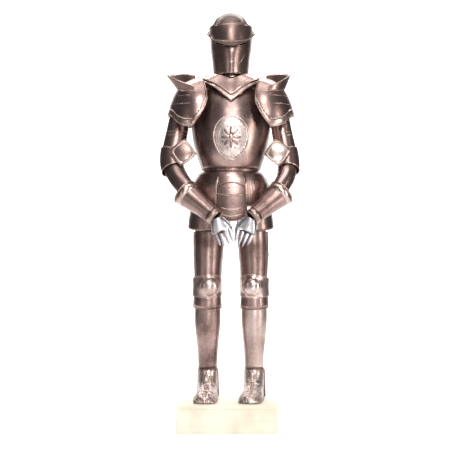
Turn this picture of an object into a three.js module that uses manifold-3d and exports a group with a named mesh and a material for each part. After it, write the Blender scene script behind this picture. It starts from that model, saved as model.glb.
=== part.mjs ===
// A full suit of plate armour, standing on a low plinth with its hands joined in front.
//
// Millimetres, +Z up, the front faces -Y, and the wearer's left is +X. The suit is hollow:
// every plate is a thin wall laid over a form, and a form is a short table of sections.
import * as THREE from 'three';
import { mergeVertices } from 'three/addons/utils/BufferGeometryUtils.js';
import Module from 'manifold-3d';

const wasm = await Module();
wasm.setup();

// ---------------------------------------------------------------- driving dimensions

const WALL = 2; // thickness of a plate
const LAP = 4.6; // how far a plate stands off the form where it laps over another
const PLINTH = { wide: 456, deep: 400, high: 125, lip: 5, board: 16, x: -18, y: -26 };
const SOLE = PLINTH.high + 0.4;
// The helmet's bolts, on an axis along X; inside and outside say how far out the shaft's ends are.
const PIVOT = { y: 10, z: 1806, hole: 4.6, shaft: 4, head: 9, inside: 92.6, outside: 105.2 };
const BEVOR_LIFT = 7.6; // the face plate rides over the skull
const VISOR_LIFT = 12.2; // and the visor over the face plate

const DEGREE = Math.PI / 180;

const COPPER = { color: 0x8a6a5c, metalness: 1, roughness: 0.35 };
const SILVER = { color: 0xc4c2c6, metalness: 1, roughness: 0.3 };
const PAINT = { color: 0xf0ecd8, metalness: 0, roughness: 0.7 };

// ---------------------------------------------------------------- tables and forms

/** Evenly spaced values from one number to another, both included. */
function steps(from, to, count) {
  return Array.from({ length: count + 1 }, (_, i) => from + ((to - from) * i) / count);
}

/** One column of a table at t: a cubic whose slopes come from the neighbouring rows. */
function column(rows, t, name) {
  const last = rows.length - 1;
  let i = 0;
  while (i < last - 1 && t > rows[i + 1].t) i += 1;
  const value = (k) => rows[k][name] ?? 0;
  const slope = (k) => {
    const a = Math.max(k - 1, 0);
    const b = Math.min(k + 1, last);
    return (value(b) - value(a)) / (rows[b].t - rows[a].t);
  };
  const span = rows[i + 1].t - rows[i].t;
  const s = THREE.MathUtils.clamp((t - rows[i].t) / span, 0, 1);
  const near = (1 + 2 * s) * (1 - s) ** 2 * value(i) + s * (1 - s) ** 2 * span * slope(i);
  const far = s * s * (3 - 2 * s) * value(i + 1) + s * s * (s - 1) * span * slope(i + 1);
  return near + far;
}

/**
 * A form from a table with the columns t, x, y, z (the middle of a section), wide (half its width),
 * front and back (its depth before and behind the middle), and keel (a ridge down the front).
 * It returns a function of an angle from the front (90 degrees is +X), of t, and of a lift.
 */
function form(rows) {
  const middle = (t) => new THREE.Vector3(...['x', 'y', 'z'].map((name) => column(rows, t, name)));
  const first = rows[0].t;
  const last = rows[rows.length - 1].t;
  return (angle, t, lift = 0) => {
    const reach = (last - first) * 0.01;
    const along = middle(Math.min(t + reach, last)).sub(middle(Math.max(t - reach, first))).normalize();
    const side = new THREE.Vector3(1, 0, 0);
    side.addScaledVector(along, -along.x).normalize();
    const fore = new THREE.Vector3().crossVectors(side, along);
    const across = Math.sin(angle) * (column(rows, t, 'wide') + lift);
    const deep = Math.cos(angle) > 0 ? column(rows, t, 'front') : column(rows, t, 'back');
    const ridge = column(rows, t, 'keel') * Math.max(0, 1 - Math.abs(angle) / (55 * DEGREE)) ** 1.4;
    const ahead = Math.cos(angle) * (deep + lift) + ridge;
    return middle(t).addScaledVector(side, across).addScaledVector(fore, ahead);
  };
}

// ---------------------------------------------------------------- closed solids

/** A closed body from points and triangles, with doubled points and flat triangles taken out. */
function body(points, triangles) {
  const loose = new THREE.BufferGeometry();
  const numbers = points.flatMap((p) => [p.x, p.y, p.z]);
  loose.setAttribute('position', new THREE.Float32BufferAttribute(numbers, 3));
  loose.setIndex(triangles.flat());
  const merged = mergeVertices(loose, 1e-3);
  const kept = [];
  const index = merged.index.array;
  for (let k = 0; k < index.length; k += 3) {
    const [a, b, c] = index.slice(k, k + 3);
    if (a !== b && b !== c && c !== a) kept.push(a, b, c);
  }
  merged.setIndex(kept);
  return merged;
}

/**
 * A plate: point(u, v) is its outer face, and the wall goes inward from it.
 * The outer face looks along du x dv, so u runs from -X to +X over the front and v runs up.
 */
function plate(point, us, vs, { closed = false, wall = WALL } = {}) {
  const nu = us.length;
  const nv = vs.length;
  const outer = vs.map((v) => us.map((u) => point(u, v)));
  const around = (i) => (closed ? (i + nu) % nu : THREE.MathUtils.clamp(i, 0, nu - 1));
  const up = (j) => THREE.MathUtils.clamp(j, 0, nv - 1);
  const normals = outer.map((row, j) =>
    row.map((_, i) => {
      const du = new THREE.Vector3().subVectors(row[around(i + 1)], row[around(i - 1)]);
      const dv = new THREE.Vector3().subVectors(outer[up(j + 1)][i], outer[up(j - 1)][i]);
      return du.cross(dv);
    }),
  );
  const inner = outer.map((row, j) =>
    row.map((p, i) => {
      let normal = normals[j][i];
      if (normal.length() < 1e-6) {
        const beside = normals[j === 0 ? 1 : j - 1]; // a pole takes the mean of the next row
        normal = beside.reduce((sum, n) => sum.add(n.clone().normalize()), new THREE.Vector3());
      }
      return p.clone().addScaledVector(normal.clone().normalize(), -wall);
    }),
  );
  const points = [...outer.flat(), ...inner.flat()];
  const out = (j, i) => j * nu + around(i);
  const inn = (j, i) => nu * nv + j * nu + around(i);
  const triangles = [];
  const quad = (a, b, c, d) => triangles.push([a, b, c], [a, c, d]);
  const spans = closed ? nu : nu - 1;
  for (let j = 0; j < nv - 1; j += 1) {
    for (let i = 0; i < spans; i += 1) {
      quad(out(j, i), out(j, i + 1), out(j + 1, i + 1), out(j + 1, i));
      quad(inn(j, i), inn(j + 1, i), inn(j + 1, i + 1), inn(j, i + 1));
    }
  }
  for (let i = 0; i < spans; i += 1) {
    quad(out(0, i), inn(0, i), inn(0, i + 1), out(0, i + 1));
    quad(out(nv - 1, i), out(nv - 1, i + 1), inn(nv - 1, i + 1), inn(nv - 1, i));
  }
  if (!closed) {
    for (let j = 0; j < nv - 1; j += 1) {
      quad(out(j, 0), out(j + 1, 0), inn(j + 1, 0), inn(j, 0));
      quad(out(j, nu - 1), inn(j, nu - 1), inn(j + 1, nu - 1), out(j + 1, nu - 1));
    }
  }
  return body(points, triangles);
}

/** A plate on a form, between two angles and between two edges; an edge may depend on the angle. */
function patch(shape, { from, to, columns, low, high, rows, lift = 0, closed = false, wall = WALL }) {
  const edge = (side, angle) => (typeof side === 'function' ? side(angle) : side);
  const count = closed ? columns - 1 : columns;
  const end = closed ? to - (to - from) / columns : to;
  const point = (angle, v) => {
    const t = THREE.MathUtils.lerp(edge(low, angle), edge(high, angle), v);
    return shape(angle, t, lift + WALL);
  };
  return plate(point, steps(from * DEGREE, end * DEGREE, count), steps(0, 1, rows), { closed, wall });
}

/** The same body on the other side of the middle plane. */
function mirrored(geometry) {
  const copy = geometry.clone().scale(-1, 1, 1);
  const index = Array.from(copy.index.array);
  for (let k = 0; k < index.length; k += 3) [index[k], index[k + 1]] = [index[k + 1], index[k]];
  copy.setIndex(index);
  return copy;
}

/** A solid of manifold-3d from a geometry of positions only. */
function solid(geometry) {
  const bare = new THREE.BufferGeometry();
  bare.setAttribute('position', geometry.getAttribute('position'));
  bare.setIndex(geometry.index);
  const merged = mergeVertices(bare, 1e-3);
  return new wasm.Manifold(
    new wasm.Mesh({
      numProp: 3,
      vertProperties: Float32Array.from(merged.getAttribute('position').array),
      triVerts: Uint32Array.from(merged.index.array),
    }),
  );
}

/** The first geometry with the others cut out of it. */
function cut(geometry, ...tools) {
  const mesh = tools.reduce((left, tool) => left.subtract(solid(tool)), solid(geometry)).getMesh();
  const result = new THREE.BufferGeometry();
  result.setAttribute('position', new THREE.Float32BufferAttribute(mesh.vertProperties, 3));
  result.setIndex(Array.from(mesh.triVerts));
  return result;
}

const suit = new THREE.Group();

/** Adds a named piece to a group and returns its mesh. */
function piece(name, geometry, look = COPPER, group = suit) {
  const mesh = new THREE.Mesh(geometry, new THREE.MeshStandardMaterial(look));
  mesh.name = name;
  group.add(mesh);
  return mesh;
}

// ---------------------------------------------------------------- helmet

const HEAD = form([
  { t: 1590, y: 6, z: 1590, wide: 72, front: 94, back: 80 },
  { t: 1620, y: 7, z: 1620, wide: 73, front: 98, back: 84 },
  { t: 1655, y: 8, z: 1655, wide: 77, front: 107, back: 96 },
  { t: 1700, y: 8, z: 1700, wide: 85, front: 116, back: 110 },
  { t: 1745, y: 8, z: 1745, wide: 89, front: 119, back: 120 },
  { t: 1790, y: 8, z: 1790, wide: 90, front: 113, back: 122 },
  { t: 1828, y: 8, z: 1824, wide: 87, front: 101, back: 114 },
  { t: 1862, y: 8, z: 1852, wide: 76, front: 85, back: 97 },
  { t: 1892, y: 8, z: 1874, wide: 59, front: 64, back: 73 },
  { t: 1920, y: 8, z: 1888, wide: 34, front: 36, back: 41 },
  { t: 1954, y: 8, z: 1895, wide: 0, front: 0, back: 0 },
]);

/** The skull: its dome comes down over the brow and the cheeks, and leaves the face open. */
function skull() {
  const brow = (angle) => 1795 - 165 * THREE.MathUtils.smoothstep(Math.abs(angle) / DEGREE, 62, 84);
  const low = (angle) => (Math.abs(angle) > 84 * DEGREE ? 1630 : brow(angle));
  return patch(HEAD, { from: -180, to: 180, columns: 24, low, high: 1954, rows: 7, closed: true });
}

// The flange under the brow: how far it stands out, drops in front and rises at the ears, and where it ends.
const BRIM = { out: 21, drop: 25, rise: 24, end: 86 };
const TAB = 105; // the angle to which the tabs at the bolts reach

/** The visor: a brow plate with a brim that dips to the front and sweeps up to the ears. */
function visor() {
  const root = (angle) => 1741 + 56 * Math.min(1, Math.abs(angle) / (BRIM.end * DEGREE)) ** 2.2;
  const crown = (angle) => 1834 - 10 * (angle / (BRIM.end * DEGREE)) ** 2;
  const width = (angle) => {
    const share = Math.min(1, Math.abs(angle) / (BRIM.end * DEGREE));
    return 1 - share ** 8;
  };
  const point = (angle, v) => {
    if (v >= 0) return HEAD(angle, THREE.MathUtils.lerp(root(angle), crown(angle), v), VISOR_LIFT + WALL);
    const share = -v * width(angle);
    const hang = BRIM.drop * Math.cos(angle) ** 2 - BRIM.rise * Math.sin(angle) ** 2;
    const lip = HEAD(angle, root(angle), VISOR_LIFT + WALL + share * BRIM.out);
    return lip.add(new THREE.Vector3(0, 0, -share * hang));
  };
  return plate(point, steps(-TAB * DEGREE, TAB * DEGREE, 14), [-1, -0.04, 0.06, 0.5, 1]);
}

/** The bevor: the face plate, with sights under the brim, a ridge and a tab at each bolt. */
function bevor() {
  const shape = (angle, t, lift) => {
    const across = Math.max(0, 1 - Math.abs(angle) / (50 * DEGREE)) ** 1.3;
    const fade = 1 - THREE.MathUtils.smoothstep(t, 1695, 1736);
    return HEAD(angle, t, lift).add(new THREE.Vector3(0, -13 * across * fade, 0));
  };
  const high = (angle) => {
    const degrees = Math.abs(angle) / DEGREE;
    const sight = degrees > 8 && degrees < 42 ? 15 : 0;
    return 1738 - sight + 82 * THREE.MathUtils.smoothstep(degrees, 44, 84);
  };
  const low = (angle) => 1598 + 172 * THREE.MathUtils.smoothstep(Math.abs(angle) / DEGREE, 84, 104);
  return patch(shape, { from: -TAB, to: TAB, columns: 14, low, high, rows: 5, lift: BEVOR_LIFT });
}

/** A round rod along X through a side of the helmet. */
function rodAlongX(radius, length, x, sides) {
  const rod = new THREE.CylinderGeometry(radius, radius, length, sides).rotateZ(90 * DEGREE);
  return rod.translate(x, PIVOT.y, PIVOT.z);
}

/** A bolt: a round head outside the visor's tab and a shaft through both tabs. */
function bolt() {
  const inside = PIVOT.inside;
  const outside = PIVOT.outside;
  const profile = [[0, inside], [PIVOT.shaft, inside], [PIVOT.shaft, outside], [PIVOT.head, outside]];
  profile.push([PIVOT.head - 1, outside + 3], [0, outside + 4.5]);
  const turned = new THREE.LatheGeometry(profile.map(([r, h]) => new THREE.Vector2(r, h)), 12);
  turned.rotateZ(-90 * DEGREE).translate(0, PIVOT.y, PIVOT.z);
  const places = turned.getAttribute('position');
  const points = steps(0, places.count - 1, places.count - 1).map((i) =>
    new THREE.Vector3().fromBufferAttribute(places, Math.round(i)));
  const triangles = steps(0, turned.index.count / 3 - 1, turned.index.count / 3 - 1).map((k) =>
    Array.from(turned.index.array.slice(3 * Math.round(k), 3 * Math.round(k) + 3)));
  return body(points, triangles);
}

function addHelmet() {
  const holes = rodAlongX(PIVOT.hole, 260, 0, 12);
  piece('helmet_skull', skull());
  piece('helmet_visor', cut(visor(), holes));
  piece('helmet_bevor', cut(bevor(), holes));
  piece('pivot_bolt_left', bolt());
  piece('pivot_bolt_right', mirrored(bolt()));
}
addHelmet();

// ---------------------------------------------------------------- neck and body

const TORSO = form([
  { t: 1130, z: 1130, wide: 131, front: 117, back: 91 },
  { t: 1160, z: 1160, wide: 130.5, front: 120, back: 92 },
  { t: 1180, z: 1180, wide: 132, front: 126, back: 94 },
  { t: 1215, z: 1215, wide: 147, front: 144, back: 102 },
  { t: 1255, z: 1255, wide: 160, front: 158, back: 110 },
  { t: 1305, z: 1305, wide: 172, front: 163, back: 118 },
  { t: 1360, z: 1360, wide: 178, front: 157, back: 124 },
  { t: 1420, z: 1420, wide: 176, front: 143, back: 126 },
  { t: 1480, z: 1480, wide: 158, front: 122, back: 118 },
  { t: 1530, z: 1530, wide: 132, front: 96, back: 100 },
  { t: 1570, z: 1570, wide: 112, front: 76, back: 82 },
]);

// The cape that the gorget's plates lie on: it falls from the neck, with a point down the chest.
const CAPE = [
  { t: 0, z: 1618, fall: 0, nape: 0, wide: 79, front: 84, back: 78 },
  { t: 1, z: 1600, fall: 26, nape: 16, wide: 94, front: 95, back: 88 },
  { t: 2, z: 1590, fall: 62, nape: 40, wide: 122, front: 112, back: 106 },
  { t: 3, z: 1577, fall: 82, nape: 70, wide: 140, front: 126, back: 120 },
  { t: 3.5, z: 1569, fall: 100, nape: 84, wide: 151, front: 134, back: 127 },
];

function cape(angle, t, lift = 0) {
  const ahead = Math.cos(angle) > 0;
  const point = (1 - Math.abs(Math.sin(angle))) ** 1.5;
  const deep = (ahead ? column(CAPE, t, 'front') : column(CAPE, t, 'back')) + lift;
  const fall = point * (ahead ? column(CAPE, t, 'fall') : column(CAPE, t, 'nape'));
  const across = Math.sin(angle) * (column(CAPE, t, 'wide') + lift);
  return new THREE.Vector3(across, 6 - Math.cos(angle) * deep, column(CAPE, t, 'z') - fall + lift);
}

function addNeck() {
  const tube = form([
    { t: 0, y: 6, z: 1566, wide: 73, front: 77, back: 70 },
    { t: 1, y: 6, z: 1650, wide: 68, front: 76, back: 66 },
  ]);
  const ring = { from: -180, to: 180, columns: 16, closed: true };
  piece('gorget_collar', patch(tube, { ...ring, low: 0, high: 1, rows: 2 }));
  const front = { from: -84, to: 84, columns: 12 };
  piece('gorget_front', patch(cape, { ...front, low: 1, high: 3.05, rows: 3, lift: LAP }));
  piece('gorget_lame', patch(cape, { ...front, low: 2.8, high: 3.5, rows: 1 }));
  piece('gorget_back', patch(cape, { from: 96, to: 264, columns: 12, low: 0.6, high: 3.3, rows: 3 }));
}

function addBody() {
  const armhole = (angle) => {
    const degrees = Math.abs(angle) / DEGREE;
    const shoulder = 56 * THREE.MathUtils.smoothstep(degrees, 14, 44);
    return 1500 + shoulder - 170 * THREE.MathUtils.smoothstep(degrees, 58, 84);
  };
  const shoulderBlade = (angle) => armhole(angle - 180 * DEGREE) + 8;
  piece('breastplate', patch(TORSO, { from: -86, to: 86, columns: 12, low: 1168, high: armhole, rows: 6 }));
  const back = { from: 94, to: 266, columns: 12 };
  piece('backplate', patch(TORSO, { ...back, low: 1168, high: shoulderBlade, rows: 5 }));
  piece('medallion', medallion(), SILVER);
}

const MEDAL = { z: 1307, half: 82, tall: 100, columns: 16, across: 180 };

/** A thin oval plate that lies on the front of the breastplate. */
function medallion() {
  const point = (turn, share) => {
    const across = share * MEDAL.half * Math.cos(turn);
    const z = MEDAL.z + share * MEDAL.tall * Math.sin(turn);
    return TORSO(Math.asin(across / MEDAL.across), z, WALL + 3.4);
  };
  const turns = Array.from({ length: MEDAL.columns }, (_, i) => (2 * Math.PI * i) / MEDAL.columns);
  return plate(point, turns, [1, 0.5, 0], { closed: true, wall: 1.2 });
}

// ---------------------------------------------------------------- skirt

const SKIRT = form([
  { t: 900, z: 900, y: 0, wide: 180, front: 147, back: 134 },
  { t: 1000, z: 1000, y: 0, wide: 177, front: 146, back: 134 },
  { t: 1060, z: 1060, y: 0, wide: 174, front: 143, back: 132 },
  { t: 1110, z: 1110, y: 0, wide: 169, front: 138, back: 127 },
  { t: 1138, z: 1138, y: 0, wide: 160, front: 132, back: 118 },
  { t: 1155, z: 1155, y: 0, wide: 142, front: 124, back: 104 },
  { t: 1164, z: 1164, y: 0, wide: 128, front: 118, back: 92 },
]);

// The arch in the front skirt: half its angle, and its heights in the middle and at its ends.
const APRON = { half: 21, crown: 1108, eaves: 1090 };
const HEM = 1004; // the lower edge of the skirt

function addSkirt() {
  const arch = (angle) => {
    const share = Math.abs(angle) / (APRON.half * DEGREE);
    return share > 1.02 ? HEM : THREE.MathUtils.lerp(APRON.crown, APRON.eaves, share ** 2);
  };
  const edges = [-88, -74, -60, -46, -33, -APRON.half - 0.5, -APRON.half, -14, -7, 0];
  const us = [...edges, ...edges.slice(0, -1).reverse().map((a) => -a)].map((a) => a * DEGREE);
  const front = (angle, v) => SKIRT(angle, THREE.MathUtils.lerp(arch(angle), 1158, v), LAP + WALL);
  piece('fauld_front', plate(front, us, steps(0, 1, 3)));
  const back = { from: 92, to: 268, columns: 12, rows: 3 };
  piece('fauld_back', patch(SKIRT, { ...back, low: HEM, high: 1158, lift: LAP }));
  const band = { from: -180, to: 180, columns: 24, closed: true, rows: 2 };
  piece('waist_band', patch(TORSO, { ...band, low: 1140, high: 1182, lift: -3.8 }));
  const smile = (height) => (angle) => height + 13 * (angle / (24 * DEGREE)) ** 2;
  const lame = { from: -24, to: 24, columns: 6, rows: 1 };
  piece('groin_lame_upper', patch(SKIRT, { ...lame, low: smile(1046), high: 1122, rows: 2, lift: -1.4 }));
  piece('groin_lame_lower', patch(SKIRT, { ...lame, low: smile(932), high: 1062, rows: 2, lift: -4.4 }));
}

const THIGH_GUARD = form([
  { t: 880, x: 112, z: 880, y: 0, wide: 86, front: 96, back: 92 },
  { t: 930, x: 110, z: 930, y: 0, wide: 84, front: 102, back: 96 },
  { t: 1000, x: 98, z: 1000, y: 0, wide: 84, front: 118, back: 104 },
  { t: 1050, x: 88, z: 1050, y: 0, wide: 80, front: 122, back: 106 },
]);

function addTassets() {
  const low = (angle) => 892 + 30 * (1 - Math.cos(angle - 25 * DEGREE));
  const guard = patch(THIGH_GUARD, { from: -16, to: 104, columns: 8, low, high: 978, rows: 3 });
  piece('tasset_left', guard);
  piece('tasset_right', mirrored(guard));
}

addNeck();
addBody();
addSkirt();
addTassets();

// ---------------------------------------------------------------- arms

// The middle of the arm from the wrist (t = 0) to the shoulder, and how thick it is. The suit leans a
// little: x is for the wearer's right arm (as if on +X), and x_left for the left arm.
const ARM = [
  { t: 0, x: 66, x_left: 88, y: -204, z: 946, wide: 30 },
  { t: 90, x: 140, x_left: 161, y: -163, z: 1018, wide: 38 },
  { t: 180, x: 214, x_left: 230, y: -116, z: 1094, wide: 45 },
  { t: 265, x: 252, x_left: 254, y: -66, z: 1152, wide: 49 },
  { t: 330, x: 268, x_left: 258, y: -38, z: 1206, wide: 51 },
  { t: 395, x: 263, x_left: 249, y: -22, z: 1268, wide: 49 },
  { t: 460, x: 249, x_left: 236, y: -10, z: 1330, wide: 48 },
  { t: 530, x: 238, x_left: 226, y: -2, z: 1400, wide: 45 },
  { t: 600, x: 224, x_left: 216, y: 4, z: 1468, wide: 43 },
];

// The shoulder: a dome over the top of the arm whose front and back lobes lap over the chest.
const SHOULDER = form([
  { t: 1345, x: 150, z: 1345, wide: 130, front: 142, back: 134 },
  { t: 1400, x: 150, z: 1400, wide: 138, front: 146, back: 138 },
  { t: 1440, x: 150, z: 1440, wide: 134, front: 142, back: 136 },
  { t: 1490, x: 150, z: 1490, wide: 117, front: 128, back: 124 },
  { t: 1530, x: 150, z: 1530, wide: 100, front: 110, back: 108 },
  { t: 1563, x: 150, z: 1560, wide: 80, front: 88, back: 86 },
  { t: 1588, x: 152, z: 1580, wide: 56, front: 62, back: 60 },
  { t: 1606, x: 154, z: 1590, wide: 32, front: 36, back: 35 },
  { t: 1636, x: 156, z: 1594, wide: 0, front: 0, back: 0 },
]);

// The wing on the shoulder, round from the front: its foot and top as heights, and how far it flares.
const WING = [
  { t: 8, foot: 1520, top: 1538, flare: 2, tip: 0 },
  { t: 35, foot: 1526, top: 1560, flare: 8, tip: 0.3 },
  { t: 66, foot: 1536, top: 1598, flare: 22, tip: 1 },
  { t: 100, foot: 1552, top: 1612, flare: 20, tip: 0.3 },
  { t: 135, foot: 1556, top: 1630, flare: 22, tip: 0 },
  { t: 170, foot: 1556, top: 1622, flare: 12, tip: 0 },
];

const SIDES = [
  { name: 'right', middle: 'x', mirror: true, tip: 34, swell: 3, tipX: 10 },
  { name: 'left', middle: 'x_left', mirror: false, tip: 4, swell: 0, tipX: 34 },
];

function addArm({ name, middle, mirror, tip, swell, tipX }) {
  const add = (label, geometry, look) =>
    piece(`${label}_${name}`, mirror ? mirrored(geometry) : geometry, look);
  const rows = ARM.map((row) => {
    const { wide } = row;
    return { ...row, x: row[middle], wide: wide + swell, front: wide, back: wide };
  });
  const arm = form(rows);
  const tube = { from: -180, to: 180, columns: 12, closed: true };

  const lobes = (angle) => {
    const degrees = angle / DEGREE;
    const lobe = (centre, width, drop) =>
      drop * Math.sqrt(Math.max(0, 1 - ((degrees - centre) / width) ** 2));
    const rise = 90 * THREE.MathUtils.smoothstep(Math.abs(degrees - 90), 76, 108) ** 1.5;
    return 1418 - lobe(12, 40, 62) - lobe(162, 40, 44) + rise;
  };
  const cap = { from: -20, to: 197, columns: 14, rows: 6, lift: LAP };
  add('pauldron', patch(SHOULDER, { ...cap, low: lobes, high: 1636 }));
  const wing = (angle, v) => {
    const at = angle / DEGREE;
    const height = THREE.MathUtils.lerp(column(WING, at, 'foot'), column(WING, at, 'top'), v);
    const flare = v * (column(WING, at, 'flare') + tip * column(WING, at, 'tip'));
    const base = SHOULDER(angle, column(WING, at, 'foot'), 9.6 + WALL + flare);
    return base.setZ(height);
  };
  const marks = WING.map((row) => row.t);
  const between = marks.slice(1).map((t, i) => (t + marks[i]) / 2);
  const around = [...marks, ...between].sort((a, b) => a - b).map((a) => a * DEGREE);
  add('pauldron_wing', plate(wing, around, steps(0, 1, 2)));

  add('upper_cannon', patch(arm, { ...tube, low: 372, high: 530, rows: 3 }));
  add('couter', patch(arm, { from: -40, to: 200, columns: 12, low: 286, high: 384, rows: 3, lift: LAP }));
  add('couter_wing', couterWing(rows));
  add('lower_cannon', patch(arm, { ...tube, low: 150, high: 322, rows: 3, lift: -5 }));
  addGauntlet(add, rows, tipX);
}

// The couter's wing: half its diagonal, its lean, how far it stands off, and how sharp its corners are.
const FAN = { reach: 60, turn: 8, lift: 68, corner: 1.16 };

/** A square plate on its corner in front of the elbow, domed and with rounded corners. */
function couterWing(rows) {
  const across = (name) => column(rows, 318, name);
  const middle = new THREE.Vector3(across('x') - 50, across('y') - FAN.lift, across('z') + 48);
  const point = (turn, share) => {
    const sum = Math.abs(Math.cos(turn)) ** FAN.corner + Math.abs(Math.sin(turn)) ** FAN.corner;
    const round = sum ** (-1 / FAN.corner);
    const size = share * FAN.reach * round;
    const spot = new THREE.Vector3(size * Math.cos(turn), 0, size * Math.sin(turn));
    spot.applyAxisAngle(new THREE.Vector3(0, 1, 0), -FAN.turn * DEGREE);
    spot.y = 9 * (size / FAN.reach) ** 2;
    return spot.add(middle);
  };
  const turns = Array.from({ length: 12 }, (_, i) => (2 * Math.PI * i) / 12);
  return plate(point, turns, [1, 0.5, 0], { closed: true });
}

// The gauntlet's cuff, from the wrist to its rim: t is along the arm, out is away from the body.
const CUFF = [
  { t: -4, out: 0, wide: 36 },
  { t: 45, out: 4, wide: 40 },
  { t: 95, out: 9, wide: 49 },
  { t: 138, out: 14, wide: 57 },
  { t: 150, out: 15, wide: 62 },
];

const PALM = { from: 6, to: 62, wrist: 26, knuckles: 43, arch: 15 };
const MEET = { y: -224, z: 826 }; // where the fingers of the two hands point

// Fingers from the outer edge of the hand to the thumb's side: where each starts and ends, along the
// hand and across it, and how far behind the back of the hand it lies.
const FINGERS = [
  { name: 'finger_little', start: 66, base: -33, end: 122, tip: -33, behind: 2, thick: 9.8 },
  { name: 'finger_ring', start: 68, base: -11, end: 136, tip: -15, behind: 0, thick: 10.6 },
  { name: 'finger_middle', start: 68, base: 11, end: 143, tip: 3, behind: 0, thick: 10.8 },
  { name: 'finger_index', start: 66, base: 33, end: 132, tip: 22, behind: 4, thick: 10.4 },
  { name: 'thumb', start: 34, base: 41, end: 92, tip: 38, behind: 29, thick: 10.4 },
];

function addGauntlet(add, rows, tipX) {
  const middle = (t) => new THREE.Vector3(column(rows, t, 'x'), column(rows, t, 'y'), column(rows, t, 'z'));
  const cuffRows = CUFF.map(({ t, out, wide }) => {
    const { x, y, z } = middle(t);
    return { t, x: x + out, y, z: z - out / 2, wide, front: wide, back: wide };
  });
  const ring = { from: -180, to: 180, columns: 12, closed: true, rows: 3 };
  add('gauntlet_cuff', patch(form(cuffRows), { ...ring, low: CUFF[0].t, high: CUFF[CUFF.length - 1].t }));

  const wrist = middle(0);
  const ahead = new THREE.Vector3(tipX, MEET.y, MEET.z).sub(wrist).normalize();
  const across = new THREE.Vector3(0, 1, 0).cross(ahead).normalize();
  const spot = (along, aside, behind) => {
    const point = wrist.clone().addScaledVector(ahead, along).addScaledVector(across, aside);
    return point.add(new THREE.Vector3(0, behind, 0));
  };
  const row = (t, p, sizes) => ({ t, x: p.x, y: p.y, z: p.z, ...sizes });
  const back = form([
    row(0, spot(PALM.to, 0, 0), { wide: PALM.knuckles, front: PALM.arch }),
    row(0.5, spot((PALM.from + PALM.to) / 2, 0, 0), { wide: 38, front: 22 }),
    row(1, spot(PALM.from, 0, 0), { wide: PALM.wrist, front: 26 }),
  ]);
  add('hand_plate', patch(back, { from: -88, to: 88, columns: 8, low: 0, high: 1, rows: 3 }), SILVER);
  for (const finger of FINGERS) {
    const at = (share) => {
      const aside = THREE.MathUtils.lerp(finger.tip, finger.base, share);
      return spot(THREE.MathUtils.lerp(finger.end, finger.start, share), aside, finger.behind);
    };
    const round = (t, share) => {
      const wide = finger.thick * share - WALL;
      return row(t, at(t), { wide, front: wide, back: wide });
    };
    const shape = form([
      row(0, at(0), { wide: -WALL, front: -WALL, back: -WALL }),
      round(0.06, 0.56), round(0.3, 0.82), round(1, 1),
    ]);
    const tube = { from: -180, to: 180, columns: 6, closed: true, low: 0, high: 1, rows: 3, wall: 1.4 };
    add(finger.name, patch(shape, tube), SILVER);
  }
}

for (const side of SIDES) addArm(side);

// ---------------------------------------------------------------- legs

const LEG = [
  { t: 255, z: 255, x: 107, y: 16, wide: 47, front: 46, back: 48 },
  { t: 320, z: 320, x: 107, y: 12, wide: 49, front: 48, back: 54, keel: 4 },
  { t: 390, z: 390, x: 107, y: 6, wide: 56, front: 51, back: 66, keel: 5 },
  { t: 460, z: 460, x: 107, y: 2, wide: 64, front: 57, back: 74, keel: 4 },
  { t: 520, z: 520, x: 107, y: -2, wide: 64, front: 59, back: 68, keel: 2 },
  { t: 580, z: 580, x: 107, y: -4, wide: 60, front: 60, back: 58 },
  { t: 640, z: 640, x: 107, y: -4, wide: 58, front: 62, back: 56 },
  { t: 700, z: 700, x: 108, y: -2, wide: 60, front: 66, back: 62 },
  { t: 770, z: 770, x: 107, y: 0, wide: 65, front: 72, back: 70 },
  { t: 840, z: 840, x: 105, y: 0, wide: 68, front: 77, back: 76 },
  { t: 900, z: 900, x: 102, y: 0, wide: 70, front: 80, back: 80 },
];

// The foot from the toe to the ankle: x = 0 is the middle of the foot, y = 0 the leg, z = 0 the sole.
const FOOT = [
  { t: 0, y: -200, z: 4, wide: -WALL, front: -WALL },
  { t: 0.4, y: -194, z: 2, wide: 30, front: 18 },
  { t: 1, y: -176, z: 1, wide: 45, front: 32 },
  { t: 2, y: -130, z: 0, wide: 53, front: 47 },
  { t: 3, y: -85, z: 1, wide: 51, front: 62 },
  { t: 4, y: -42, z: 6, wide: 48, front: 76 },
  { t: 5, y: -6, z: 34, wide: 45, front: 76 },
  { t: 6, y: 10, z: 82, wide: 44, front: 52 },
  { t: 7, y: 14, z: 126, wide: 43, front: 43 },
];

const HEEL = form([
  { t: 0, y: 20, z: 0.2, wide: 47, front: 10, back: 56 },
  { t: 40, y: 20, z: 40, wide: 48, front: 10, back: 56 },
  { t: 90, y: 18, z: 90, wide: 46, front: 10, back: 46 },
  { t: 124, y: 16, z: 124, wide: 45, front: 10, back: 44 },
]);

const HIP = 107; // how far each leg stands from the middle
// How far each leg is turned towards the middle, and each foot towards -X, in degrees.
const STANCE = [
  { name: 'right', side: -1, knee: 8, foot: 4 },
  { name: 'left', side: 1, knee: -13, foot: 9 },
];

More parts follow.
